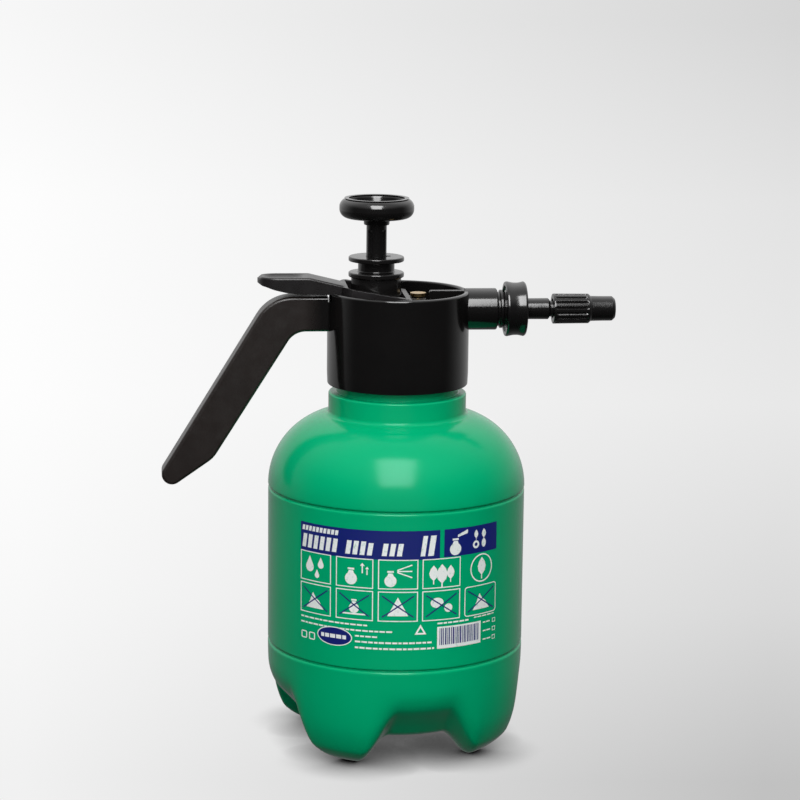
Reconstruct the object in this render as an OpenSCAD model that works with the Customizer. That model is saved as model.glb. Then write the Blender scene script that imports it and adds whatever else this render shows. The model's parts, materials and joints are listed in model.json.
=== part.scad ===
// Hand pressure sprayer of about one and a half litres.
// The origin is on the bottle's axis at the level of the four feet.
// +Z is up and +X points the way the nozzle sprays; the handle is on the -X side.

/* [Bottle] */
// Outer diameter of the bottle
bottle_d = 125.4; // [125:0.1:126]
// Wall of the blown bottle
bottle_wall = 2; // [1.5:0.1:2.5]
// Height of the lower step line
step_low_z = 51; // [48:1:54]
// Height of the upper step line
step_high_z = 128; // [120:1:130]
// Radius of the shoulder seen from the side
shoulder_r = 35.9; // [35.5:0.1:36.5]
// Height of the arches between the feet
foot_gap_z = 14.5; // [14:0.5:16]
// Turn of the four feet about the bottle axis
foot_turn = 9; // [0:1:10]

/* [Head] */
// Outer diameter of the collar
collar_d = 68.6; // [68:0.1:70]
// Height of the collar's lower edge
collar_low_z = 178.5; // [178.5:0.1:179]
// Height of the collar's rim
rim_z = 224; // [223.5:0.5:225]
// Width of the handle
handle_w = 14; // [13:0.2:14]
// Height of the spray axis
spray_z = 214.7; // [214.5:0.1:215]

/* [Pump] */
// Distance of the pump axis behind the bottle axis
pump_back = 10.8; // [10:0.1:11]
// Bore of the pump barrel
barrel_bore_d = 17.2; // [16.8:0.1:17.4]
// Diameter of the piston rod
rod_d = 9.8; // [9.4:0.1:10]
// Diameter of the pump knob
knob_d = 36.1; // [34:0.1:38]
// Travel of the pump
pump_stroke = 80; // [60:1:82]

/* [Trigger] */
// Distance of the trigger pivot behind the bottle axis
pivot_back = 14; // [13.5:0.1:14.5]
// Height of the trigger pivot
pivot_z = 214.5; // [214:0.1:215]
// Distance of the valve stem in front of the bottle axis
valve_x = 9.6; // [9.5:0.1:9.8]

/* [Nozzle] */
// Diameter of the union nut
union_d = 26.7; // [26:0.1:27.5]
// Diameter of the lance tube
lance_d = 10.2; // [10:0.1:10.4]
// Diameter across the grip ribs of the nozzle cap
cap_d = 14.7; // [14.4:0.1:15]
// Diameter of the smooth front of the nozzle cap
cap_nose_d = 12; // [11.8:0.1:12.2]
// Number of grip ribs on the nozzle cap
cap_ribs = 16; // [12:1:18]

/* [Hidden] */
$fn = 96;
far = 400;            // longer than anything it cuts
fit = 0.05;           // radial clearance of a running fit
gap = 0.3;            // clearance between pieces that pass each other
bottle_r = bottle_d / 2;
collar_r = collar_d / 2;
pump_x = -pump_back;
pivot_x = -pivot_back;
barrel_bore = barrel_bore_d / 2;
rod_r = rod_d / 2;

// Bottle levels
shoulder_z = 128.8;
neck_wall_r = 33.5;
neck_edge_z = shoulder_z + shoulder_r * sin(acos((neck_wall_r - bottle_r + shoulder_r) / shoulder_r));
neck_ledge_z = 174.4;
finish_r = 29.6;
finish_top_z = 200;
neck_bore_r = finish_r - 2.2;
thread_pitch = 4;
thread_rise = 1.2;
thread_h = 1.4;
thread_z = 181.5;
step_depth = 0.5;
step_h = 1.2;
foot_r = 60.4;
foot_round = 14.4;
arch_r = [30, 40];    // front and back, then the sides
scoop_r = [25, 30];
scoop_top_z = 36;
lip_r = 46;           // where the slope above an arch meets the arch
lip_slope = 0.8;

// Head levels
deck_low_z = 202;
deck_top_z = 205.5;
socket_r = 31.2;
cup_r = 31.8;
handle_top_z = 221.8;
handle_wall = 2.4;
spout_r = 10.1;
spout_end_x = 47.8;
spigot_r = 9.3;
spigot_end_x = 58;
spout_bore_r = 6.6;
spout_bore_x = 36;
notch_w = 20;
notch_z = 219.4;
duct_w = 8;
rib_w = 2.5;
lug_y = 21.2;
lug_w = 3;
lug_r = 3.5;
trunnion_r = 2;

// Valve levels, all on the axis x = valve_x
seat_z = 197;
chamber_r = 3.6;
boss_r = 5.6;
rib_x = 14.8;
valve_cap_z = 212;
boss_top_z = 216;
stem_head_z = 221.2;
duct_z = 209.6;
stem_r = 1.5;
tube_r = 3;
tube_low_z = 22;
spring_wire_r = 0.35;

// Pump levels, all on the axis x = pump_x
barrel_r = 10.4;
barrel_low_z = 106;
barrel_top_z = 226;
flange_z = 206.7;
flange_r = 13.8;
piston_z = 110;
piston_top_z = 122;
rod_top_z = 262;
nut_low_z = 210.4;
nut_flange_z = [230.9, 238.4];
nut_flange_r = 13.4;
nut_flange_h = 2.2;
nut_skirt_r = 12.1;
nut_neck_r = 8.8;
flute_r = 1.1;
knob_low_z = 258.9;
knob_top_z = 268.9;
knob_round = 4.8;
dish_r = 13.4;
dish_depth = 5;

// Nozzle stations along +X
union_x = [51.9, 61.9];
lance_thin_x = 73.6;
lance_thin_r = 3.9;
stub_end_x = 96;
cap_body_r = cap_d / 2 - 0.6;
cap_x = [75.4, 92.8, 94, 104.4, 105.8];
rib_r = 0.75;
insert_x = 103.4;
insert_r = 3.2;

// A corner of an outline is [x, y, r]; r rounds it with an arc
function unit(v) = v / norm(v);
function corner(a, b, c) =
    let (u = unit([a.x - b.x, a.y - b.y]), w = unit([c.x - b.x, c.y - b.y]),
         half = acos(max(-1, min(1, u * w))) / 2,
         centre = [b.x, b.y] + unit(u + w) * b.z / sin(half),
         from = [b.x, b.y] + u * b.z / tan(half) - centre,
         to = [b.x, b.y] + w * b.z / tan(half) - centre,
         start = atan2(from.y, from.x),
         sweep = ((atan2(to.y, to.x) - start + 540) % 360) - 180,
         steps = max(2, ceil(abs(sweep) / 7.5)))
    [for (i = [0 : steps]) centre + b.z * [cos(start + sweep * i / steps), sin(start + sweep * i / steps)]];
function rounded(p) =
    [for (i = [0 : len(p) - 1])
        let (b = p[i])
        if (b.z == 0) [b.x, b.y]
        else each corner(p[(i + len(p) - 1) % len(p)], b, p[(i + 1) % len(p)])];

// A tube or a washer on the Z axis
module ring(r_out, r_in, z, h)
    translate([0, 0, z])
    difference() {
        cylinder(r = r_out, h = h);
        translate([0, 0, -1]) cylinder(r = r_in, h = h + 2);
    }

// Anything drawn on the Z axis, laid along +X on the spray axis
module along_spray()
    translate([0, 0, spray_z])
    rotate([0, 90, 0])
    children();

module at_pump() translate([pump_x, 0, 0]) children();
module at_valve() translate([valve_x, 0, 0]) children();

// Half of the bottle's section; inset moves every surface inwards by the wall
function bottle_outline(inset) =
    let (r = bottle_r - inset, s = shoulder_r - inset, neck = neck_wall_r - inset,
         sweep = acos((neck - r + s) / s),
         low = inset, foot = foot_r - inset - foot_round)
    concat([[0, low], [foot, low]],
           [for (a = [-75 : 15 : 0]) [foot + foot_round * cos(a), low + foot_round + foot_round * sin(a)]],
           [for (a = [-8, 0]) [r - 40 + 40 * cos(a), step_low_z - 14 + 40 * sin(a)]],
           [for (i = [0 : 10]) [r - s + s * cos(sweep * i / 10), shoulder_z + s * sin(sweep * i / 10)]]);

// A cylinder across the bottle, from side to side
module across(r, top)
    translate([0, top - r, -far / 2]) cylinder(r = r, h = far);

// The arches under the bottle, one across the other, and the slopes above them.
// inset moves their surfaces into the bottle by the wall.
module arches(inset)
    for (i = [0, 1])
        rotate([90, 0, 90 * i + foot_turn]) across(arch_r[i] + inset, foot_gap_z + inset);

module scoops(inset)
    difference() {
        for (i = [0, 1])
            rotate([90, 0, 90 * i + foot_turn]) across(scoop_r[i] + inset, scoop_top_z + inset);
        let (lip = lip_r - inset * sqrt(1 + lip_slope * lip_slope), low = -1, high = 45)
            translate([0, 0, low])
            cylinder(r1 = lip + lip_slope * (low - foot_gap_z), r2 = lip + lip_slope * (high - foot_gap_z),
                     h = high - low);
    }

module bottle()
    color([0, 0.62, 0.38])
    difference() {
        union() {
            difference() {
                rotate_extrude()
                polygon(concat(bottle_outline(0), [[neck_wall_r, neck_ledge_z], [0, neck_ledge_z]]));
                arches(0);
                scoops(0);
            }
            translate([0, 0, neck_ledge_z - 1]) cylinder(r = finish_r, h = finish_top_z - neck_ledge_z + 1);
            for (i = [0 : 3])
                translate([0, 0, thread_z + i * thread_pitch])
                cylinder(r = finish_r + thread_rise, h = thread_h);
        }
        difference() {
            rotate_extrude() polygon(concat(bottle_outline(bottle_wall), [[0, neck_edge_z - 2]]));
            arches(bottle_wall);
            scoops(bottle_wall);
        }
        translate([0, 0, neck_edge_z - 4]) cylinder(r = neck_bore_r, h = far);
        for (z = [step_low_z, step_high_z])
            ring(bottle_r + 1, bottle_r - step_depth, z - step_h / 2, step_h);
    }

module neck_gasket()
    color([0.12, 0.12, 0.12])
    ring(finish_r + 1.2, neck_bore_r - 0.6, finish_top_z + fit, deck_low_z - finish_top_z - fit);

// Side view of the handle, from the collar's wall to its lower tip
handle_outline = [[-33, handle_top_z, 0], [-62.3, handle_top_z, 20], [-126.2, 117.4, 5],
                  [-89.4, 143.1, 14], [-50.5, 204.9, 10], [-33, 204.9, 0]];
// The hollow in its lower side, open towards the palm
handle_core = [[-36, 219.2, 0], [-61, 219.2, 17], [-116.6, 128.4, 3], [-89.4, 128.4, 0], [-46, 197, 0],
               [-36, 203, 0]];

module side_plate(outline, width)
    rotate([90, 0, 0])
    linear_extrude(width, center = true)
    polygon(rounded(outline));

module handle()
    difference() {
        side_plate(handle_outline, handle_w);
        difference() {
            side_plate(handle_core, handle_w - 2 * handle_wall);
            for (i = [0 : 4])
                translate([-52 - 12 * i, 0, 207 - 16.5 * i])
                rotate([0, -32, 0])
                cube([60, handle_w, 1.8], center = true);
        }
    }

module collar()
    difference() {
        translate([0, 0, collar_low_z]) cylinder(r = collar_r, h = rim_z - collar_low_z);
        translate([0, 0, collar_low_z - 1]) cylinder(r = socket_r, h = deck_low_z - collar_low_z + 1);
        translate([0, 0, deck_top_z]) cylinder(r = cup_r, h = far);
    }

module spout()
    along_spray() {
        translate([0, 0, cup_r]) cylinder(r = spout_r, h = spout_end_x - cup_r);
        translate([0, 0, spout_end_x - 1]) cylinder(r = spigot_r - 1, h = spigot_end_x - spout_end_x + 1);
        for (x = [spout_end_x + 0.6, spout_end_x + 3.6, spout_end_x + 6.6])
            translate([0, 0, x]) cylinder(r = spigot_r, h = 1.5);
    }

// Valve chamber, its outlet duct to the spout and the socket for the dip tube
module valve_block() {
    at_valve() {
        translate([0, 0, 181]) cylinder(r = 5.2, h = 22);
        translate([0, 0, deck_low_z]) cylinder(r = boss_r, h = boss_top_z - deck_low_z);
    }
    translate([valve_x, -duct_w / 2, deck_low_z])
        cube([cup_r - valve_x + 1, duct_w, duct_z + 3 - deck_low_z]);
    translate([rib_x, -rib_w / 2, deck_low_z])
        cube([cup_r - rib_x + 0.6, rib_w, rim_z - deck_low_z]);
}

module pivot_lugs()
    for (s = [-1, 1])
        translate([pivot_x, s * lug_y, 0]) {
            translate([-lug_r, -lug_w / 2, deck_low_z + 1])
                cube([2 * lug_r, lug_w, pivot_z - deck_low_z - 1]);
            translate([0, 0, pivot_z]) rotate([90, 0, 0]) cylinder(r = lug_r, h = lug_w, center = true);
        }

module head_housing()
    color([0.13, 0.13, 0.14])
    difference() {
        union() {
            collar();
            handle();
            spout();
            valve_block();
            pivot_lugs();
            for (i = [0 : 3])
                ring(collar_r - 1, socket_r - thread_rise, thread_z + 1.9 + i * thread_pitch, thread_h);
        }
        at_pump() translate([0, 0, deck_low_z - 1]) cylinder(r = barrel_r + fit, h = 10);
        at_valve() {
            translate([0, 0, 170]) cylinder(r = tube_r + fit, h = 22);
            translate([0, 0, 190]) cylinder(r = 2, h = 10);
            translate([0, 0, seat_z]) cylinder(r = chamber_r, h = far);
        }
        translate([valve_x, 0, duct_z]) rotate([0, 90, 0]) cylinder(r = 1.8, h = 28);
        along_spray() translate([0, 0, spout_bore_x]) cylinder(r = spout_bore_r, h = far);
        translate([pivot_x, 0, pivot_z])
            rotate([90, 0, 0])
            cylinder(r = trunnion_r + fit, h = 50, center = true);
        // clearance for the trigger's body through the wall on the handle side
        translate([-collar_r - 0.1, -notch_w / 2, notch_z]) cube([14, notch_w, 20]);
    }

module pump_barrel()
    color([0.85, 0.85, 0.82])
    at_pump()
    difference() {
        union() {
            translate([0, 0, barrel_low_z]) cylinder(r = barrel_r, h = barrel_top_z - barrel_low_z);
            translate([0, 0, flange_z]) cylinder(r = flange_r, h = 2.4);
            for (i = [0 : 3]) translate([0, 0, 212 + i * 3]) cylinder(r = barrel_r + 0.5, h = 1.2);
        }
        translate([0, 0, barrel_low_z + 3]) cylinder(r = barrel_bore, h = far);
        translate([0, 0, barrel_low_z - 1]) cylinder(r = 1.5 + fit, h = 10);
        for (a = [0 : 90 : 270])
            rotate([0, 0, a]) translate([4.2, 0, barrel_low_z - 1]) cylinder(r = 1, h = 10);
    }

module barrel_seal()
    color([0.12, 0.12, 0.12])
    at_pump() ring(flange_r, barrel_r + fit, deck_top_z, flange_z - deck_top_z);

module pump_nut()
    color([0.16, 0.16, 0.17])
    at_pump()
    difference() {
        union() {
            translate([0, 0, nut_low_z]) cylinder(r = nut_skirt_r, h = nut_flange_z[0] - nut_low_z);
            translate([0, 0, nut_flange_z[0]])
                cylinder(r = nut_neck_r, h = nut_flange_z[1] - nut_flange_z[0]);
            for (z = nut_flange_z) translate([0, 0, z]) cylinder(r = nut_flange_r, h = nut_flange_h);
        }
        difference() {
            translate([0, 0, nut_low_z - 1])
                cylinder(r = barrel_r + 0.55, h = barrel_top_z - nut_low_z + 1.2);
            for (i = [0 : 3]) ring(barrel_r + 1, barrel_r + fit, 213.6 + i * 3, 1);
        }
        cylinder(r = rod_r + fit, h = far);
        translate([rod_r, 0, nut_flange_z[1]]) rotate([0, 0, 45]) cube([3, 3, 8], center = true);
    }

module piston()
    color([0.8, 0.8, 0.78])
    at_pump()
    difference() {
        union() {
            translate([0, 0, piston_z]) cylinder(r = barrel_bore - 0.3, h = piston_top_z - piston_z);
            translate([0, 0, piston_top_z - 1]) cylinder(r = 3 - fit, h = 12);
        }
        ring(barrel_bore + 1, barrel_bore - 2, piston_z + 5, 2.6);
    }

module piston_seal()
    color([0.1, 0.1, 0.1])
    at_pump()
    translate([0, 0, piston_z + 6.3])
    rotate_extrude()
    translate([barrel_bore - 1 - fit, 0]) circle(r = 0.95, $fn = 32);

module piston_rod()
    color([0.15, 0.15, 0.16])
    at_pump()
    difference() {
        translate([0, 0, piston_top_z + gap]) cylinder(r = rod_r, h = rod_top_z - piston_top_z - gap);
        translate([0, 0, piston_top_z - 1]) cylinder(r = 3, h = 16);
        for (a = [45 : 90 : 315])
            rotate([0, 0, a]) translate([rod_r, 0, piston_top_z + 12])
            cylinder(r = flute_r, h = knob_low_z - piston_top_z - 17);
    }

module pump_knob()
    color([0.16, 0.16, 0.17])
    at_pump()
    difference() {
        rotate_extrude()
        polygon(rounded([[0, knob_low_z - 3, 0], [rod_r + 1.3, knob_low_z - 3, 0],
                         [rod_r + 1.6, knob_low_z, 1.5], [knob_d / 2, knob_low_z, knob_round],
                         [knob_d / 2, knob_top_z, knob_round], [dish_r, knob_top_z, 1.6],
                         [dish_r - 2, knob_top_z - dish_depth, 2.5], [0, knob_top_z - dish_depth, 0]]));
        translate([0, 0, knob_low_z - 4]) cylinder(r = rod_r + 0.02, h = rod_top_z - knob_low_z + 4.1);
    }

module foot_valve()
    color([0.1, 0.1, 0.1])
    at_pump() {
        translate([0, 0, barrel_low_z - 1.5]) cylinder(r = 6.6, h = 1.5);
        translate([0, 0, barrel_low_z - 0.5]) cylinder(r = 1.5, h = 3.6);
    }

module dip_tube()
    color([0.86, 0.88, 0.86])
    at_valve() ring(tube_r, tube_r - 1, tube_low_z, 191 - tube_low_z);

module intake_filter()
    color([0.75, 0.75, 0.73])
    at_valve()
    difference() {
        translate([0, 0, tube_low_z - 1.7]) cylinder(r = 5, h = 13);
        translate([0, 0, tube_low_z]) cylinder(r = tube_r + fit, h = 20);
        for (a = [0 : 30 : 330])
            rotate([0, 0, a]) translate([4.4, -0.4, tube_low_z]) cube([2, 0.8, 9]);
        translate([0, 0, 19]) cylinder(r = 1.6, h = 5);
    }

module valve_stem()
    color([0.78, 0.62, 0.3])
    at_valve() {
        translate([0, 0, seat_z + 1.6]) cylinder(r = 3.2, h = 1.4);
        translate([0, 0, seat_z + 2]) cylinder(r = stem_r, h = stem_head_z - seat_z - 1);
        translate([0, 0, stem_head_z]) cylinder(r = 3.8, h = 1.6);
    }

module valve_seal()
    color([0.1, 0.1, 0.1])
    at_valve() translate([0, 0, seat_z + fit]) cylinder(r = 3.2, h = 1.6 - fit);

// Height along a compression spring after t turns, with a closed turn at each end
function coil_rise(t, turns, height, closed) =
    t < 1 ? t * closed
    : t > turns - 1 ? height - (turns - t) * closed
    : closed + (t - 1) / (turns - 2) * (height - 2 * closed);

// A round wire swept along a helix
module coil(r, wire_r, height, turns, closed, per_turn = 24, sides = 8) {
    steps = turns * per_turn;
    points = [for (i = [0 : steps], k = [0 : sides - 1])
        let (a = 360 * i / per_turn, b = 360 * k / sides, across = r + wire_r * cos(b))
        [across * cos(a), across * sin(a),
         wire_r * sin(b) + coil_rise(i / per_turn, turns, height, closed)]];
    walls = [for (i = [0 : steps - 1], k = [0 : sides - 1])
        let (a = i * sides + k, b = i * sides + (k + 1) % sides)
        each [[a, b, b + sides], [a, b + sides, a + sides]]];
    start = [for (k = [sides - 1 : -1 : 0]) k];
    end = [for (k = [0 : sides - 1]) steps * sides + k];
    polyhedron(points, concat([start], walls, [end]));
}

module valve_spring()
    color([0.75, 0.76, 0.78])
    at_valve()
    translate([0, 0, seat_z + 3 + spring_wire_r + 0.05])
    coil(2.65, spring_wire_r, valve_cap_z - seat_z - 3.1 - 2 * spring_wire_r, 6, 2 * spring_wire_r + 0.08);

module valve_cap()
    color([0.16, 0.16, 0.17])
    at_valve()
    difference() {
        union() {
            translate([0, 0, valve_cap_z]) cylinder(r = chamber_r - fit, h = 5);
            translate([0, 0, boss_top_z + 0.02]) cylinder(r = 4.7, h = 1.8, $fn = 6);
        }
        translate([0, 0, valve_cap_z - 1]) cylinder(r = stem_r + fit, h = far);
        ring(2.5, 0.1, valve_cap_z + 1.5, 1.6);
    }

module stem_seal()
    color([0.1, 0.1, 0.1])
    at_valve()
    translate([0, 0, valve_cap_z + 2.3])
    rotate_extrude()
    translate([2.04, 0]) circle(r = 0.45, $fn = 24);

// Side view of the whole lever, then the parts that are cut from it
lever_w = 17.8;
lever_wall = 1.5;
fork_y = 15.9;
fork_t = 3.2;
lever_side = [[-65.6, 231.3, 1.2], [-43.2, 231.3, 8], [-26, 227.2, 0], [5.2, 221.8, 0], [5.2, 218.9, 0],
              [-6, 211.5, 6], [-22, 211.5, 4], [-28.4, 219.4, 0], [-28.4, 223.1, 0], [-48, 223.2, 12],
              [-68.1, 228.1, 1.2]];

lever_hollow = [[-63.8, 231.3, 1], [-43.2, 231.3, 8], [-29.8, 228, 0], [-29.8, 210, 0], [-63.8, 210, 0]];

module trigger_lever()
    color([0.17, 0.16, 0.17])
    difference() {
        union() {
            // shell of the paddle, open underneath
            difference() {
                intersection() {
                    side_plate(lever_side, lever_w);
                    translate([-75, -20, 200]) cube([75 - 26, 40, 60]);
                }
                translate([0, 0, -2.2]) side_plate(lever_hollow, lever_w - 2 * lever_wall);
            }
            // the fork that passes the pump on both sides
            intersection() {
                side_plate(lever_side, 35);
                translate([0, 0, 200]) cylinder(r = cup_r - 2.2, h = 40);
                union() {
                    for (s = [-1, 1])
                        translate([-11.2, s * fork_y, 220]) cube([32.8, fork_t, 40], center = true);
                    translate([-26.5, 0, 220]) cube([3, 35, 40], center = true);
                    translate([3.9, 0, 220]) cube([2.6, 35, 40], center = true);
                }
            }
            for (s = [-1, 1])
                translate([5, s * 3.9 - 1.7, 218.9]) cube([8, 3.4, 1.7]);
            for (s = [-1, 1])
                translate([pivot_x, s * fork_y, pivot_z])
                rotate([s * -90, 0, 0])
                cylinder(r = trunnion_r, h = 6.8);
        }
        // room for the pump nut
        at_pump() translate([0, 0, 200]) cylinder(r = 13.2, h = 60);
        // room for the stem's cap
        translate([2, -7, 200]) cube([14, 14, 18.9]);
    }

module lance_stub()
    color([0.15, 0.15, 0.16])
    along_spray()
    difference() {
        union() {
            translate([0, 0, 42]) cylinder(r = 6.5, h = 16);
            translate([0, 0, spigot_end_x + fit]) cylinder(r = 8.8, h = 1.8);
            translate([0, 0, spigot_end_x]) cylinder(r = lance_d / 2, h = lance_thin_x - spigot_end_x);
            translate([0, 0, lance_thin_x - 1])
                cylinder(r = lance_thin_r, h = stub_end_x - lance_thin_x + 1);
            for (i = [0 : 3]) translate([0, 0, 82 + i * 2.4]) cylinder(r = 4.6, h = 1.1);
        }
        translate([0, 0, 40]) cylinder(r = 2, h = far);
        ring(8, 5.2, 46, 2.6);
        ring(8, 3.2, 78, 2);
    }

module lance_seal()
    color([0.1, 0.1, 0.1])
    along_spray()
    translate([0, 0, 47.3])
    rotate_extrude()
    translate([5.85, 0]) circle(r = 0.6, $fn = 24);

module union_nut()
    color([0.15, 0.15, 0.16])
    along_spray()
    difference() {
        translate([0, 0, union_x[0]]) cylinder(r = union_d / 2, h = union_x[1] - union_x[0]);
        difference() {
            translate([0, 0, union_x[0] - 1]) cylinder(r = spigot_r + 0.4, h = 60 - union_x[0] + 1);
            for (x = [53.1, 56.1]) ring(spigot_r + 1, spigot_r - 0.6, x - 0.2, 1);
        }
        translate([0, 0, 40]) cylinder(r = lance_d / 2 + fit, h = far);
        ring(11.2, 5, union_x[0] - 1, 1.8);
    }

module nozzle_cap()
    color([0.15, 0.15, 0.16])
    along_spray()
    difference() {
        union() {
            rotate_extrude()
            polygon([[0, cap_x[0]], [cap_body_r, cap_x[0]], [cap_body_r, cap_x[1]],
                     [cap_nose_d / 2, cap_x[2]], [cap_nose_d / 2, cap_x[3]],
                     [cap_nose_d / 2 - 1.2, cap_x[4]], [0, cap_x[4]]]);
            for (i = [0 : cap_ribs - 1])
                rotate([0, 0, i * 360 / cap_ribs])
                translate([cap_d / 2 - rib_r, 0, cap_x[0]])
                cylinder(r = rib_r, h = cap_x[1] - cap_x[0], $fn = 24);
        }
        difference() {
            translate([0, 0, 70]) cylinder(r = 4.85, h = 32);
            for (i = [0 : 2]) ring(6, 4.1, 83.3 + i * 2.4, 0.9);
        }
        translate([0, 0, 90]) cylinder(r = 2.2, h = far);
        translate([0, 0, insert_x]) cylinder(r = insert_r, h = far);
    }

module nozzle_seal()
    color([0.1, 0.1, 0.1])
    along_spray()
    translate([0, 0, 79])
    rotate_extrude()
    translate([4.02, 0]) circle(r = 0.75, $fn = 24);

module swirl_core()
    color([0.8, 0.8, 0.78])
    along_spray()
    difference() {
        union() {
            translate([0, 0, 92]) cylinder(r = 2 - fit, h = 5);
            translate([0, 0, stub_end_x + fit]) cylinder(r = 3.6, h = 3.4);
        }
        for (a = [0, 60, 120])
            rotate([0, 0, a]) translate([0, 0, 99.2]) cube([10, 0.8, 1.4], center = true);
        translate([0, 0, 91]) cylinder(r = 0.9, h = 7);
    }

module nozzle_insert()
    color([0.72, 0.5, 0.28])
    along_spray()
    difference() {
        translate([0, 0, insert_x + fit]) cylinder(r = insert_r - 0.02, h = 2.6);
        translate([0, 0, 100]) cylinder(r = 0.5, h = far);
        translate([0, 0, 105]) cylinder(r1 = 0.5, r2 = 1.9, h = 1.2);
    }

bottle();
neck_gasket();
head_housing();
pump_barrel();
barrel_seal();
pump_nut();
piston();
piston_seal();
piston_rod();
pump_knob();
foot_valve();
dip_tube();
intake_filter();
valve_stem();
valve_seal();
valve_spring();
valve_cap();
stem_seal();
trigger_lever();
lance_stub();
lance_seal();
union_nut();
nozzle_cap();
nozzle_seal();
swirl_core();
nozzle_insert();
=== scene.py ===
"""Looks of a hand pump pressure sprayer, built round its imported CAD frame.

Every number in an outline is in millimetres in the row frame: +Z up the bottle's axis, +X the way it sprays.
"""

import json
import math

import bmesh
import bpy
import numpy as np
from mathutils import Matrix, Vector


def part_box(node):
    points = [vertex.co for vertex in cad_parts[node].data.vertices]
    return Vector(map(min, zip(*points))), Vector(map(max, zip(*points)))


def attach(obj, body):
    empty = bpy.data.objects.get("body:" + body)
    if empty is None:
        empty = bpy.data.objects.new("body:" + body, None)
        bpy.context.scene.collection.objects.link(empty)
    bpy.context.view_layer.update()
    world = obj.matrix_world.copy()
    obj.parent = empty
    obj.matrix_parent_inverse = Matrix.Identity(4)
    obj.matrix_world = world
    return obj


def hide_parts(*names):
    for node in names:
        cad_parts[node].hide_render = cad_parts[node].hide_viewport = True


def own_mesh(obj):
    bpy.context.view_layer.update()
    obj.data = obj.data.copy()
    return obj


MM = 0.001
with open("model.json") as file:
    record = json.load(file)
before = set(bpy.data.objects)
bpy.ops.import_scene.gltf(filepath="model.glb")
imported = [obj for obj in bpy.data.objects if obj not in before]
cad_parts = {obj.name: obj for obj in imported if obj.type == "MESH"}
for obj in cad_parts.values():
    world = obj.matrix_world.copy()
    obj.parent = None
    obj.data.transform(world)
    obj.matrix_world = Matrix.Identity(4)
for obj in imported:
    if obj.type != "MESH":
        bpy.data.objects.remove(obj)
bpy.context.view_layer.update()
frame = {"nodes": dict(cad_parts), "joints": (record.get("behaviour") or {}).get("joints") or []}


def box_mm(node):
    """Lowest and highest corner of a CAD node, in millimetres."""
    low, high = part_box(node)
    return Vector(low) / MM, Vector(high) / MM


def centre_mm(node):
    low, high = box_mm(node)
    return (low + high) / 2


PUMP_X = centre_mm("pump_knob").x
VALVE_X = centre_mm("valve_cap").x
SPRAY_Z = centre_mm("union_nut").z
PIVOT = [Vector(j["pos_m"]) / MM for j in frame["joints"] if j["name"] == "trigger_press"][0]
BOTTLE_R = box_mm("bottle")[1].x

# ---------------------------------------------------------------- mesh helpers


def unit(v):
    return v / np.linalg.norm(v)


def rounded(points, arc_step=10):
    """A closed outline of (x, y) or (x, y, radius) with its corners turned into arcs."""
    out = []
    count = len(points)
    for i, point in enumerate(points):
        here = np.array(point[:2], float)
        radius = point[2] if len(point) > 2 else 0
        if radius <= 0:
            out.append(tuple(here))
            continue
        before = unit(np.array(points[i - 1][:2], float) - here)
        after = unit(np.array(points[(i + 1) % count][:2], float) - here)
        half = math.acos(max(-1, min(1, float(before @ after)))) / 2
        centre = here + unit(before + after) * radius / math.sin(half)
        first = here + before * radius / math.tan(half) - centre
        last = here + after * radius / math.tan(half) - centre
        start = math.atan2(first[1], first[0])
        sweep = (math.atan2(last[1], last[0]) - start + 3 * math.pi) % (2 * math.pi) - math.pi
        steps = max(2, math.ceil(abs(math.degrees(sweep)) / arc_step))
        for k in range(steps + 1):
            a = start + sweep * k / steps
            out.append((centre[0] + radius * math.cos(a), centre[1] + radius * math.sin(a)))
    return out


def new_object(name, vertices, faces):
    mesh = bpy.data.meshes.new(name)
    mesh.from_pydata([tuple(float(c) * MM for c in v) for v in vertices], [], faces)
    mesh.validate()
    obj = bpy.data.objects.new(name, mesh)
    bpy.context.scene.collection.objects.link(obj)
    outward(obj)
    return obj


def outward(obj):
    bm = bmesh.new()
    bm.from_mesh(obj.data)
    bmesh.ops.remove_doubles(bm, verts=bm.verts, dist=1e-7)
    bmesh.ops.recalc_face_normals(bm, faces=bm.faces)
    bm.to_mesh(obj.data)
    bm.free()


def on_z(x=0):
    """Places a turned part's own axis along +Z at x."""
    return lambda r, h, a: (x + r * math.cos(a), r * math.sin(a), h)


def on_x(z):
    """Places a turned part's own axis along +X at height z."""
    return lambda r, h, a: (h, r * math.cos(a), z + r * math.sin(a))


def turned(name, outline, place, segments=96, shape=None):
    """A closed outline of (radius, height, corner radius) turned about an axis.

    shape(radius, height, angle) gives the radius at that angle, for ribs and flutes.
    """
    profile = rounded(outline)
    vertices, rows = [], []
    for radius, height in profile:
        if radius < 1e-6:
            rows.append([len(vertices)] * segments)
            vertices.append(place(0, height, 0))
            continue
        rows.append(list(range(len(vertices), len(vertices) + segments)))
        for k in range(segments):
            a = 2 * math.pi * k / segments
            r = shape(radius, height, a) if shape else radius
            vertices.append(place(r, height, a))
    faces = []
    for one, two in zip(rows, rows[1:] + rows[:1]):
        for k in range(segments):
            n = (k + 1) % segments
            corners = [one[k], one[n], two[n], two[k]]
            kept = [c for i, c in enumerate(corners) if c not in corners[:i]]
            if len(kept) > 2:
                faces.append(kept)
    return new_object(name, vertices, faces)


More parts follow.
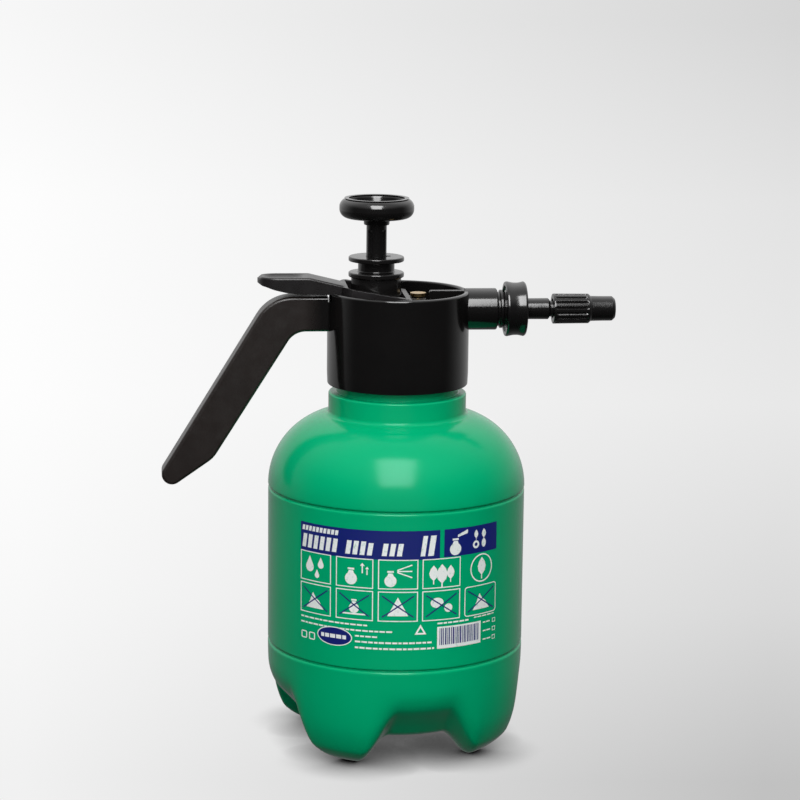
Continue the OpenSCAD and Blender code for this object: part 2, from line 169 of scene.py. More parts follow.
def plate(name, outline, half_width, edge=0, steps=4, axis="y", at=0):
    """A side outline of (x, z) made solid across the width, its two rims rounded by edge."""
    points = rounded(outline, 6)
    if edge:
        turns = [math.pi / 2 * k / steps for k in range(steps + 1)]
        rings = [(half_width - edge + edge * math.sin(t), edge - edge * math.cos(t))
                 for t in reversed(turns)]
        rings = [(-w, d) for w, d in rings] + [(w, d) for w, d in reversed(rings)]
    else:
        rings = [(-half_width, 0), (half_width, 0)]
    flat = np.array(points)
    area = np.sum(flat[:, 0] * np.roll(flat[:, 1], -1) - np.roll(flat[:, 0], -1) * flat[:, 1])
    ahead = np.roll(flat, -1, axis=0) - flat
    behind = flat - np.roll(flat, 1, axis=0)
    normals = []
    for a, b in zip(behind, ahead):
        t = unit(unit(a) + unit(b))
        side = np.array([t[1], -t[0]]) * (1 if area > 0 else -1)
        normals.append(side / max(0.5, float(np.array([unit(a)[1], -unit(a)[0]]) @ side)
                                  * (1 if area > 0 else -1)))
    normals = np.array(normals)
    vertices, count = [], len(points)
    for w, inset in rings:
        for (x, z), n in zip(flat, normals):
            px, pz = x - n[0] * inset, z - n[1] * inset
            vertices.append({"y": (px, at + w, pz), "z": (px, pz, at + w)}[axis])
    faces = [list(range(count)), list(range((len(rings) - 1) * count, len(rings) * count))]
    for i in range(len(rings) - 1):
        for k in range(count):
            n = (k + 1) % count
            faces.append([i * count + k, i * count + n, (i + 1) * count + n, (i + 1) * count + k])
    return new_object(name, vertices, faces)


def from_bmesh(name, bm):
    """An object from a bmesh, which is then freed."""
    bmesh.ops.recalc_face_normals(bm, faces=bm.faces)
    mesh = bpy.data.meshes.new(name)
    bm.to_mesh(mesh)
    bm.free()
    obj = bpy.data.objects.new(name, mesh)
    bpy.context.scene.collection.objects.link(obj)
    return obj


def slab(name, low, high, edge=0.0):
    """A block between two corners, its edges bevelled."""
    bm = bmesh.new()
    bmesh.ops.create_cube(bm, size=1)
    centre, size = (Vector(low) + Vector(high)) / 2, Vector(high) - Vector(low)
    for v in bm.verts:
        v.co = Vector([c + s * p for c, s, p in zip(centre, size, v.co)]) * MM
    if edge:
        bmesh.ops.bevel(bm, geom=bm.edges[:], offset=edge * MM, segments=2, profile=0.5, affect="EDGES")
    return from_bmesh(name, bm)


def settle(obj):
    """Applies every modifier of obj to its mesh."""
    graph = bpy.context.evaluated_depsgraph_get()
    mesh = bpy.data.meshes.new_from_object(obj.evaluated_get(graph))
    old = obj.data
    obj.modifiers.clear()
    obj.data = mesh
    bpy.data.meshes.remove(old)


def combine(target, others, operation):
    """Adds or cuts other closed meshes, which are then removed."""
    for other in others:
        modifier = target.modifiers.new("combine", "BOOLEAN")
        modifier.operation = operation
        modifier.solver = "EXACT"
        modifier.object = other
        settle(target)
        bpy.data.objects.remove(other)
    return target


def smooth(obj, angle):
    """Smooth shading with sharp edges kept, and flat faces kept flat beside their rounded edges."""
    bm = bmesh.new()
    bm.from_mesh(obj.data)
    limit = math.radians(angle)
    for face in bm.faces:
        face.smooth = True
    for edge in bm.edges:
        edge.smooth = len(edge.link_faces) == 2 and edge.calc_face_angle(0) < limit
    bm.to_mesh(obj.data)
    bm.free()
    modifier = obj.modifiers.new("weighted", "WEIGHTED_NORMAL")
    modifier.keep_sharp = True
    settle(obj)


def piece(obj, body, material, nodes=(), angle=32):
    smooth(obj, angle)
    obj.data.materials.clear()
    obj.data.materials.append(material)
    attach(obj, body)
    if nodes:
        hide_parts(*nodes)
    return obj


# ---------------------------------------------------------------- materials


def add_node(tree, kind, inputs=None, **settings):
    """A shader node whose inputs are sockets to link or plain values."""
    node = tree.nodes.new(kind)
    for key, value in settings.items():
        setattr(node, key, value)
    for key, value in (inputs or {}).items():
        if isinstance(value, bpy.types.NodeSocket):
            tree.links.new(value, node.inputs[key])
        else:
            node.inputs[key].default_value = value
    return node


class Look:
    """A procedural material under construction."""

    def __init__(self, name, **values):
        self.material = bpy.data.materials.new(name)
        self.material.use_nodes = True
        self.tree = self.material.node_tree
        self.shader = self.tree.nodes["Principled BSDF"]
        for key, value in values.items():
            self.shader.inputs[key.replace("_", " ")].default_value = value
        self.place = self.node("ShaderNodeTexCoord").outputs["Object"]

    def node(self, kind, inputs=None, **settings):
        return add_node(self.tree, kind, inputs, **settings)

    def noise(self, scale, detail=3, rough=0.55, stretch=None):
        place = self.place
        if stretch:
            place = self.node("ShaderNodeMapping", {"Vector": place, "Scale": stretch}).outputs[0]
        inputs = {"Vector": place, "Scale": scale, "Detail": detail, "Roughness": rough}
        return self.node("ShaderNodeTexNoise", inputs).outputs["Fac"]

    def ramp(self, factor, low, high, start=0.35, end=0.65):
        inputs = {"Value": factor, "From Min": start, "From Max": end, "To Min": low, "To Max": high}
        return self.node("ShaderNodeMapRange", inputs).outputs[0]

    def colours(self, factor, stops):
        node = self.node("ShaderNodeValToRGB", {"Fac": factor})
        node.color_ramp.elements.remove(node.color_ramp.elements[1])
        node.color_ramp.elements[0].position = stops[0][0]
        node.color_ramp.elements[0].color = (*stops[0][1], 1)
        for position, colour in stops[1:]:
            node.color_ramp.elements.new(position).color = (*colour, 1)
        return node.outputs["Color"]

    def mixed(self, factor, first, second):
        """One colour fading into another."""
        inputs = {"Factor": factor, 6: first, 7: second}
        return self.node("ShaderNodeMix", inputs, data_type="RGBA").outputs[2]

    def link(self, key, socket):
        self.tree.links.new(socket, self.shader.inputs[key])
        return self

    def bumps(self, *layers):
        """Layers of (height socket, depth in metres), added into one normal."""
        normal = None
        for height, depth in layers:
            inputs = {"Height": height, "Distance": depth, "Strength": 1.0}
            if normal:
                inputs["Normal"] = normal
            normal = self.node("ShaderNodeBump", inputs).outputs[0]
        return self.link("Normal", normal)


def moulded(name, dark, light, rough, grain=0.00002, specular=0.5):
    """Injection moulded plastic: clouded colour, uneven gloss and a fine skin."""
    look = Look(name, Specular_IOR_Level=specular)
    clouds = look.noise(38, 4)
    look.link("Base Color", look.colours(clouds, [(0.3, dark), (0.7, light)]))
    scuffs = look.noise(160, 5, 0.65)
    look.link("Roughness", look.ramp(scuffs, rough[0], rough[1]))
    look.bumps((look.noise(1400, 2), grain), (look.noise(90, 3), grain * 4))
    return look.material


def blown(name):
    """Blow moulded polyethylene: glossy, a little uneven over the mould's face."""
    look = Look(name, Specular_IOR_Level=0.26, Subsurface_Weight=0.05, Subsurface_Scale=0.003,
                Specular_Tint=(0.7, 1, 0.95, 1))
    look.shader.inputs["Subsurface Radius"].default_value = (0.1, 1.0, 0.5)
    clouds = look.noise(12, 2)
    look.link("Base Color", look.colours(clouds, [(0.3, (0.0, 0.36, 0.15)), (0.7, (0.0, 0.385, 0.163))]))
    look.link("Roughness", look.ramp(look.noise(60, 3, 0.5), 0.17, 0.2, 0.2, 0.8))
    waves = look.noise(22, 2, 0.4, stretch=(1, 1, 0.35))
    look.bumps((look.noise(700, 2), 0.000004), (waves, 0.0005))
    return look.material


def head_look(name):
    """The head's one moulding: polished round the collar, etched and a little warmer on the grip."""
    look = Look(name, Specular_IOR_Level=0.75)
    along = look.node("ShaderNodeSeparateXYZ", {"Vector": look.place}).outputs["X"]
    grip = look.ramp(along, 1, 0, -0.046, -0.037)
    clouds = look.noise(38, 4)
    polished = look.colours(clouds, [(0.3, (0.0045, 0.0042, 0.0043)), (0.7, (0.0065, 0.006, 0.006))])
    etched = look.colours(clouds, [(0.3, (0.0115, 0.0082, 0.0075)), (0.7, (0.0155, 0.0112, 0.01))])
    look.link("Base Color", look.mixed(grip, polished, etched))
    scuffs = look.noise(160, 5, 0.65)
    smooth_gloss, etched_gloss = look.ramp(scuffs, 0.12, 0.16), look.ramp(scuffs, 0.34, 0.42)
    gloss = look.node("ShaderNodeMix", {"Factor": grip, "A": smooth_gloss, "B": etched_gloss}).outputs[0]
    look.link("Roughness", gloss)
    look.bumps((look.noise(1400, 2), 0.00001), (look.noise(60, 3), 0.00008))
    return look.material


def ink(name, colour, wear):
    """Screen printed ink, thin enough to show the skin under it."""
    look = Look(name, Roughness=0.42)
    patches = look.noise(700, 4, 0.7)
    look.link("Base Color", look.colours(patches, [(0.3, wear), (0.45, colour)]))
    look.bumps((look.noise(1500, 2), 0.00001))
    return look.material


def turned_metal(name, dark, light, rough):
    look = Look(name, Metallic=1.0)
    rings = look.noise(2600, 2, 0.5, stretch=(1, 0.02, 0.02))
    look.link("Base Color", look.colours(look.noise(220, 4), [(0.3, dark), (0.7, light)]))
    look.link("Roughness", look.ramp(rings, rough[0], rough[1]))
    look.bumps((rings, 0.00001))
    return look.material


def rubber_look(name):
    look = Look(name, Roughness=0.75, Sheen_Weight=0.15)
    look.link("Base Color", look.colours(look.noise(300, 4),
                                         [(0.3, (0.012, 0.012, 0.012)), (0.7, (0.022, 0.021, 0.02))]))
    look.bumps((look.noise(1100, 3), 0.00002))
    return look.material


green = blown("green_polyethylene")
head_black = head_look("head_polypropylene")
black = moulded("black_polypropylene", (0.005, 0.0047, 0.0048), (0.0075, 0.007, 0.007), (0.13, 0.18),
                0.00001, 0.9)
grey_black = moulded("lever_polypropylene", (0.0115, 0.0105, 0.011), (0.016, 0.0145, 0.015), (0.26, 0.34))
natural = moulded("natural_polypropylene", (0.62, 0.62, 0.56), (0.7, 0.7, 0.64), (0.38, 0.5))
tube_look = moulded("dip_tube_polyethylene", (0.66, 0.69, 0.66), (0.74, 0.77, 0.74), (0.25, 0.35))
rubber = rubber_look("nitrile_rubber")
brass = turned_metal("turned_brass", (0.55, 0.38, 0.16), (0.68, 0.48, 0.22), (0.22, 0.4))
dull_brass = turned_metal("nozzle_brass", (0.16, 0.055, 0.03), (0.24, 0.09, 0.05), (0.35, 0.5))
steel = turned_metal("spring_steel", (0.5, 0.51, 0.53), (0.6, 0.61, 0.63), (0.2, 0.35))
white_ink = ink("white_ink", (0.82, 0.86, 0.84), (0.45, 0.64, 0.55))
blue_ink = ink("blue_ink", (0.004, 0.012, 0.16), (0.003, 0.02, 0.12))

# ---------------------------------------------------------------- camera

CAMERA_AZIMUTH = math.radians(-5.5)  # measured from -Y towards -X
CAMERA_PITCH = math.radians(11.1)
CAMERA_ROLL = math.radians(0.64)
CAMERA_DISTANCE = 1.274
CAMERA_HEIGHT = 0.4199
CAMERA_ASIDE = 0.0014
LENS = 120.0

az, el = CAMERA_AZIMUTH, CAMERA_PITCH
back = Vector((math.sin(az) * math.cos(el), -math.cos(az) * math.cos(el), math.sin(el)))
right = Vector((math.cos(az), math.sin(az), 0))
up = back.cross(right)
turn = Matrix((right, up, back)).transposed() @ Matrix.Rotation(CAMERA_ROLL, 3, "Z")
camera_data = bpy.data.cameras.new("camera")
camera_data.lens = LENS
camera_data.sensor_width = 36
camera_data.clip_start, camera_data.clip_end = 0.05, 100
camera = bpy.data.objects.new("camera", camera_data)
away = Vector((math.sin(az), -math.cos(az), 0)) * CAMERA_DISTANCE
stand = away + right * CAMERA_ASIDE + Vector((0, 0, CAMERA_HEIGHT))
camera.matrix_world = Matrix.Translation(stand) @ turn.to_4x4()
bpy.context.scene.collection.objects.link(camera)
bpy.context.scene.camera = camera

# ---------------------------------------------------------------- bottle

WALL = 2.0
FOOT_TURN = math.radians(9.4)
# across each arch: where its flat ends and where the foot is whole
SIDE_GAP, FRONT_GAP = (19.8, 32.1), (12.5, 28.9)
PANEL_R = BOTTLE_R - 0.05
GROOVE = 0.85
BASE_TOP = 49
STEP_LOW, STEP_HIGH = 51.0, 128.0
SHOULDER_R, SHOULDER_Z = 35.9, 128.8
NECK_R, LEDGE_Z = 33.5, 174.4
FINISH_R, FINISH_TOP, NECK_BORE = 29.6, box_mm("bottle")[1].z, 27.4
THREAD_RINGS, THREAD_PITCH, THREAD_RISE = 4, 4, 1.2
NECK_THREAD_Z, SOCKET_THREAD_Z = 181.5, 183.4


def thread_ring(root, rise, z):
    """One ring of the neck's coarse thread, as four points going up."""
    return [(root, z - 0.3), (root + rise, z + 0.3, 0.25), (root + rise, z + 1.1, 0.25), (root, z + 1.7)]


def spline(points, steps=5):
    """A smooth line through points."""
    p = [np.array(q, float) for q in points]
    p = [2 * p[0] - p[1]] + p + [2 * p[-1] - p[-2]]
    out = []
    for i in range(1, len(p) - 2):
        for k in range(steps):
            t = k / steps
            a, b, c, d = p[i - 1 : i + 3]
            out.append(0.5 * (2 * b + (c - a) * t + (2 * a - 5 * b + 4 * c - d) * t**2
                              + (3 * b - a - 3 * c + d) * t**3))
    out.append(p[-2])
    return np.array(out)


def inset_line(line, depth):
    """A profile moved inwards by depth along its own normals."""
    ahead = np.gradient(line, axis=0)
    ahead /= np.linalg.norm(ahead, axis=1)[:, None]
    return line + np.stack([-ahead[:, 1], ahead[:, 0]], 1) * depth


def bottle_rows():
    """Profiles under a foot and under a gap: up the outer skin, then down the inner one."""
    foot = spline([(0, 13.5), (16, 13), (27, 7), (34, 1.4), (39.5, 0.05), (43.5, 0), (48, 0.9), (52.4, 3.2),
                   (56, 6.2), (58.7, 10), (61.2, 18.5), (62.3, 29), (BOTTLE_R, 40), (BOTTLE_R, BASE_TOP)])
    gap = spline([(0, 11), (16, 11.3), (28, 12), (36, 12.6), (41.5, 13.1), (45.9, 15.2), (48.6, 18.2),
                  (51.2, 21.4),
                  (54.6, 25.2), (57.6, 28.4), (59.8, 31.2), (61.5, 35.2), (62.4, 40), (BOTTLE_R, BASE_TOP)])
    foot[:, 1] = np.maximum(foot[:, 1], 0)
    foot[:, 0] = np.clip(foot[:, 0], 0, BOTTLE_R)
    gap[:, 0] = np.clip(gap[:, 0], 0, BOTTLE_R)
    groove = BOTTLE_R - GROOVE
    body = rounded([(0, BASE_TOP), (BOTTLE_R, BASE_TOP + 0.05), (BOTTLE_R, STEP_LOW - 0.15, 1.5),
                    (groove, STEP_LOW - 0.1, 0.2),
                    (groove, STEP_LOW + 0.35, 0.15), (PANEL_R, STEP_LOW + 1.1, 0.8),
                    (PANEL_R, STEP_HIGH - 0.35, 1.3), (groove, STEP_HIGH - 0.25, 0.2),
                    (groove, STEP_HIGH + 0.3, 0.15), (BOTTLE_R, STEP_HIGH + 1.0, 0.7),
                    (BOTTLE_R - 0.02, SHOULDER_Z + 1.3)], 15)[1:]
    sweep = math.acos((NECK_R - BOTTLE_R + SHOULDER_R) / SHOULDER_R)
    arc = [(BOTTLE_R - SHOULDER_R + SHOULDER_R * math.cos(t), SHOULDER_Z + SHOULDER_R * math.sin(t))
           for t in np.linspace(0, sweep, 28)[1:-2]]
    neck = [(0, SHOULDER_Z), arc[-1], (NECK_R, SHOULDER_Z + SHOULDER_R * math.sin(sweep) - 0.3, 2.2),
            (NECK_R, LEDGE_Z, 0.9), (FINISH_R, LEDGE_Z, 0.5)]
    for k in range(THREAD_RINGS):
        neck += thread_ring(FINISH_R, THREAD_RISE, NECK_THREAD_Z + THREAD_PITCH * k)
    neck += [(FINISH_R, FINISH_TOP, 0.5), (NECK_BORE, FINISH_TOP, 0.5), (NECK_BORE, 166.5, 3)]
    upper = body + arc + rounded(neck, 18)[2:]
    inner_r = BOTTLE_R - WALL
    shoulder = [(BOTTLE_R - SHOULDER_R + (SHOULDER_R - WALL) * math.cos(t),
                 SHOULDER_Z + (SHOULDER_R - WALL) * math.sin(t)) for t in np.linspace(sweep * 0.98, 0, 20)]
    upper += shoulder + [(inner_r, 100), (inner_r, 52)]
    inner_foot, inner_gap = inset_line(foot, WALL)[::-1], inset_line(gap, WALL)[::-1]
    rows = [(f, g) for f, g in zip(foot, gap)] + [(u, u) for u in upper]
    return rows + [(f, g) for f, g in zip(inner_foot, inner_gap)]


def foot_weight(angle, radius):
    """0 over an arch, 1 over a foot."""
    share = 1.0
    for middle, (near, wide) in ((0, SIDE_GAP), (math.pi / 2, FRONT_GAP)):
        off = abs((angle - FOOT_TURN - middle + math.pi / 2) % math.pi - math.pi / 2)
        t = min(1, max(0, (max(radius, 20) * math.sin(off) - near) / (wide - near)))
        share *= t * t * (3 - 2 * t)
    return share


def make_bottle(columns=240):
    rows = bottle_rows()
    angles = [2 * math.pi * k / columns for k in range(columns)]
    vertices, faces = [], []
    for foot, gap in rows:
        for a in angles:
            w = foot_weight(a, (foot[0] + gap[0]) / 2)
            r = max(0.0, gap[0] + (foot[0] - gap[0]) * w)
            z = gap[1] + (foot[1] - gap[1]) * w
            vertices.append((r * math.cos(a), r * math.sin(a), z))
    count = len(rows)
    for i in range(count - 1):
        for k in range(columns):
            n = (k + 1) % columns
            faces.append([i * columns + k, i * columns + n, (i + 1) * columns + n, (i + 1) * columns + k])
    return new_object("bottle_shell", vertices, faces)


piece(make_bottle(), "tank", green, ["bottle"], angle=50)

# ---------------------------------------------------------------- printed panel

LINE = 0.45
PRINT_STEP = 1.6  # how often a flat shape is cut to bend round the panel
COLUMNS = [(-141.2, -124.4), (-121.9, -104.9), (-102.8, -85.5), (-83.6, -66.0), (-63.7, -45.4)]
ROW_ONE, ROW_TWO = (91.5, 105.9), (75.8, 90.4)
BANNER = (106.9, 119.7)


def along(degrees):
    """Length round the panel, in millimetres, from an angle in degrees."""
    return math.radians(degrees) * PANEL_R


def loop(low, high, corner=0.0):
    """A rectangle's outline between two (along, z) corners."""
    points = [(low[0], low[1], corner), (high[0], low[1], corner), (high[0], high[1], corner),
              (low[0], high[1], corner)]
    return rounded(points, 20)


def ellipse(centre, a, b, count=40):
    return [(centre[0] + a * math.cos(2 * math.pi * k / count),
             centre[1] + b * math.sin(2 * math.pi * k / count))
            for k in range(count)]


def band(outer, inner):
    """The faces between two loops with the same number of points."""
    count = len(outer)
    return [[outer[k], outer[(k + 1) % count], inner[(k + 1) % count], inner[k]] for k in range(count)]


def framed(low, high, corner=0.0, line=LINE):
    inside = loop((low[0] + line, low[1] + line), (high[0] - line, high[1] - line), max(0, corner - line))
    outside = loop(low, high, corner)
    return band(outside, inside) if len(inside) == len(outside) else band(loop(low, high), loop(
        (low[0] + line, low[1] + line), (high[0] - line, high[1] - line)))


def stroke(points, width=0.6):
    """A line of even width through points."""
    p = [np.array(q, float) for q in points]
    sides = []
    for i, q in enumerate(p):
        t = unit(p[min(i + 1, len(p) - 1)] - p[max(i - 1, 0)])
        n = np.array([-t[1], t[0]]) * width / 2
        sides.append((tuple(q + n), tuple(q - n)))
    return [[a[0], b[0], b[1], a[1]] for a, b in zip(sides, sides[1:])]


def moved(shapes, at, size=1.0):
    return [[(at[0] + size * u, at[1] + size * z) for u, z in shape] for shape in shapes]


def printed(name, shapes, lift, material):
    """Flat shapes of (along, z) points, given a skin's thickness and wrapped round the panel."""
    bm = bmesh.new()
    for shape in shapes:
        bm.faces.new([bm.verts.new((u, 0, z)) for u, z in shape])
    bmesh.ops.recalc_face_normals(bm, faces=bm.faces)
    low = min(v.co.x for v in bm.verts)
    high = max(v.co.x for v in bm.verts)
    for k in range(1, int((high - low) / PRINT_STEP) + 1):
        everything = bm.verts[:] + bm.edges[:] + bm.faces[:]
        bmesh.ops.bisect_plane(bm, geom=everything, plane_co=(low + k * PRINT_STEP, 0, 0),
                               plane_no=(1, 0, 0), dist=1e-5)
    bmesh.ops.triangulate(bm, faces=[f for f in bm.faces if len(f.verts) > 4])
    skin = bmesh.ops.extrude_face_region(bm, geom=bm.faces[:])
    raised = {v for v in skin["geom"] if isinstance(v, bmesh.types.BMVert)}
    for v in bm.verts:
        r = PANEL_R + (lift if v in raised else -0.04)
        a = v.co.x / PANEL_R
        v.co = Vector((r * math.cos(a), r * math.sin(a), v.co.z)) * MM
    return piece(from_bmesh(name, bm), "tank", material, angle=30)


def drop():
    """A falling drop."""
    tip = [(0, 4.2)]
    arc = [(2.4 * math.cos(t), 2.4 * math.sin(t) - 1.2) for t in np.linspace(0.35, -math.pi - 0.35, 16)]
    return [tip + arc]


def leaf():
    side = [(0.0, -3.6), (1.7, -1.8), (2.2, 0.2), (1.5, 2.2), (0.0, 4.0)]
    return [side + [(-u, z) for u, z in reversed(side[1:-1])]] + stroke([(0, -5.2), (0, -3.4)], 0.5)


def arrow(length=5.0, head=1.5):
    return stroke([(0, -length / 2), (0, length / 2 - head)], 0.6) + [
        [(-head * 0.75, length / 2 - head), (head * 0.75, length / 2 - head), (0, length / 2)]]


def flask():
    """A round flask on a line."""
    body = [(2.6 * math.cos(t), 2.6 * math.sin(t) - 1.6)
            for t in np.linspace(math.pi * 0.68, math.pi * 2.32, 18)]
    return [body + [(0.9, 1.8), (-0.9, 1.8)]] + [loop((-1.4, 2.1), (1.4, 2.9))]


def hill():
    return [[(-5.4, -4.8), (5.4, -4.8), (2.6, -0.6), (0.8, 0.4), (-1.2, 3.4), (-3.2, -1.2)]]


def middle(column, row):
    return along(sum(COLUMNS[column]) / 2), sum(row) / 2


white, blue, over = [], [], []
for column in range(4):
    a, b = (along(v) for v in COLUMNS[column])
    for row in (ROW_ONE, ROW_TWO):
        white += framed((a, row[0]), (b, row[1]))
a, b = (along(v) for v in COLUMNS[4])
white += framed((a, ROW_TWO[0]), (b, ROW_TWO[1]), 1.6)
u, z = middle(4, ROW_ONE)
white += band(ellipse((u, z), 6.9, 6.9), ellipse((u, z), 6.3, 6.3))
white += moved(leaf(), (u, z + 0.6), 1.15)

# row one: plain signs of water, air and plants
u, z = middle(0, ROW_ONE)
for aside, rise, size in ((-3.2, 1, 1.0), (3.4, 2.2, 0.7), (1.2, -3.2, 0.55)):
    white += moved(drop(), (u + aside, z + rise), size)
u, z = middle(1, ROW_ONE)
white += moved(flask(), (u - 1.6, z - 1), 1.15)
white += moved(arrow(), (u + 4, z + 2.6)) + moved(arrow(), (u + 6.3, z + 1.4), 0.8)
u, z = middle(2, ROW_ONE)
white += moved(flask(), (u - 3.6, z - 1.4), 1.1)
for rise in (-1.6, 0, 1.6):
    white += stroke([(u - 0.4, z + 1.6 + rise * 0.3), (u + 6.6, z + 1.6 + rise * 1.9)], 0.55)
u, z = middle(3, ROW_ONE)
for aside, rise, size in ((-4.2, 0, 1.0), (0, -0.6, 1.25), (4.4, 0, 0.9)):
    white += moved(leaf(), (u + aside, z + rise), size)

# row two: plain shapes under two crossed strokes
shapes = [hill(), flask() + [loop((-6, -5), (6, -4.2))], [[(-5.2, -4.8), (5.2, -4.8), (0, 4.8)]],
          moved([ellipse((0, 0), 3.4, 2.6, 24)], (-2.4, 1.4))
          + moved([ellipse((0, 0), 2.2, 2.2, 24)], (3.6, -1.6)), hill()]
for column, shape in enumerate(shapes):
    u, z = middle(column, ROW_TWO)
    white += moved(shape, (u, z), 0.95)
    half = (along(COLUMNS[column][1]) - along(COLUMNS[column][0])) / 2 - 1.9
    for way in (-1, 1):
        over += stroke([(u - half, z + way * 5.2), (u + half, z - way * 5.2)], 0.62)

# banner: a dark field with a slanted stripe pattern in place of any name
blue.append(loop((along(-141.3), BANNER[0] - 1.2), (along(-75.9), BANNER[1])))
blue.append(loop((along(-74.0), BANNER[0] - 0.6), (along(-45.4), BANNER[1])))
start = along(-140.3)
for k in range(10):
    at = start + k * 2.15
    white.append([(at, 115.9), (at + 1.55, 115.9), (at + 1.95, 118.3), (at + 0.4, 118.3)])
for k in range(15):
    at = start + k * 3.55
    tall = 6.6 if k < 10 else 6.0
    if k in (6, 11):
        continue
    white.append([(at, 107.6), (at + 2.35, 107.6), (at + 3.3, 107.6 + tall), (at + 0.95, 107.6 + tall)])
at = along(-82.6)
for step, width in ((0, 2.2), (3.6, 2.8)):
    foot, top = at + step - 2.2, at + step - 0.8
    white.append([(foot, 107.4), (foot + width, 107.4), (top + width, 117.2), (top, 117.2)])
u = along(-68.6)
white += moved(flask(), (u, 111.6), 1.15)
white.append([(u + 1.2, 115.4), (u + 6.6, 116.8), (u + 6.6, 118.6), (u + 1.2, 116.6)])
u = along(-56.0)
white += moved(leaf(), (u - 2.2, 115.6), 0.55) + moved(leaf(), (u + 2.6, 115.4), 0.6)
white += band(ellipse((u - 2.2, 110.6), 1.9, 1.9, 20), ellipse((u - 2.2, 110.6), 0.9, 0.9, 20))
white += [ellipse((u + 2.6, 110.8), 1.3, 2.1, 20)]


def dashes(first, last, z, tall, seed):
    """A row of short bars, standing for small print."""
    out, at, k = [], along(first), seed
    while at < along(last) - 1:
        k += 1
        long = 1.5 + 1.3 * abs(math.sin(k * 2.399))
        end = min(at + long, along(last))
        out.append(loop((at, z), (end, z + tall)))
        at = end + 0.55
    return out


SMALL_PRINT = (  # first and last angle, height and tallness of each row
    (-140.8, -106.5, 73.1, 0.75), (-140.8, -96.5, 70.4, 0.75), (-112.8, -103, 67.7, 0.75),
    (-112.8, -78, 64.9, 0.85), (-112.8, -78, 62.0, 0.85), (-76.6, -61.5, 73.9, 0.75),
               (-58.5, -46, 74.6, 0.55))
for first, last, z, tall in SMALL_PRINT:
    white += dashes(first, last, z, tall, int(abs(first + z)))
for z in (71.6, 67.4, 63.2):
    white += framed((along(-47.4), z - 1.2), (along(-45.4), z + 0.9), line=0.3)
    white += dashes(-53.2, -48.2, z - 0.4, 0.6, int(z))
for first, last in ((-140.6, -137.2), (-136, -132.6)):
    white += framed((along(first), 62.8), (along(last), 66.5), 0.8, 0.55)
u, z = along(-122.7), 66.6
white += [ellipse((u, z), 9.4, 4.6)]
over += [ellipse((u, z), 8.9, 4.15)]
badge = dashes(-129.2, -116.4, 65.7, 1.9, 3)
u = along(-84.2)
outer, inner = [(u - 2.8, 69.4), (u + 2.8, 69.4), (u, 74.3)], [(u - 1.5, 70.2), (u + 1.5, 70.2), (u, 72.7)]
white += band(outer, inner)
white.append(loop((along(-76.7), 61.9), (along(-54.6), 72.6)))
bar = along(-75.6)
for k in range(22):
    wide = (0.35, 0.6, 0.45, 0.75)[k % 4]
    over.append(loop((bar, 63.6), (bar + wide, 71.8)))
    bar += wide + (0.45, 0.35, 0.6)[k % 3]

printed("print_blue", blue, 0.02, blue_ink)
printed("print_white", white, 0.045, white_ink)
printed("print_blue_over", over, 0.07, blue_ink)
printed("print_badge_bars", badge, 0.095, white_ink)

# ---------------------------------------------------------------- head housing

COLLAR_R, COLLAR_LOW, RIM = 34.3, 178.5, 224.0
SOCKET_R, CUP_R = 31.2, 31.8
DECK_LOW, DECK_TOP = 202.0, 205.5
HANDLE_HALF = 7.0
HANDLE_TOP = 221.8
SPOUT_R, SPOUT_END, SPIGOT_END = 10.1, 47.8, 58.0


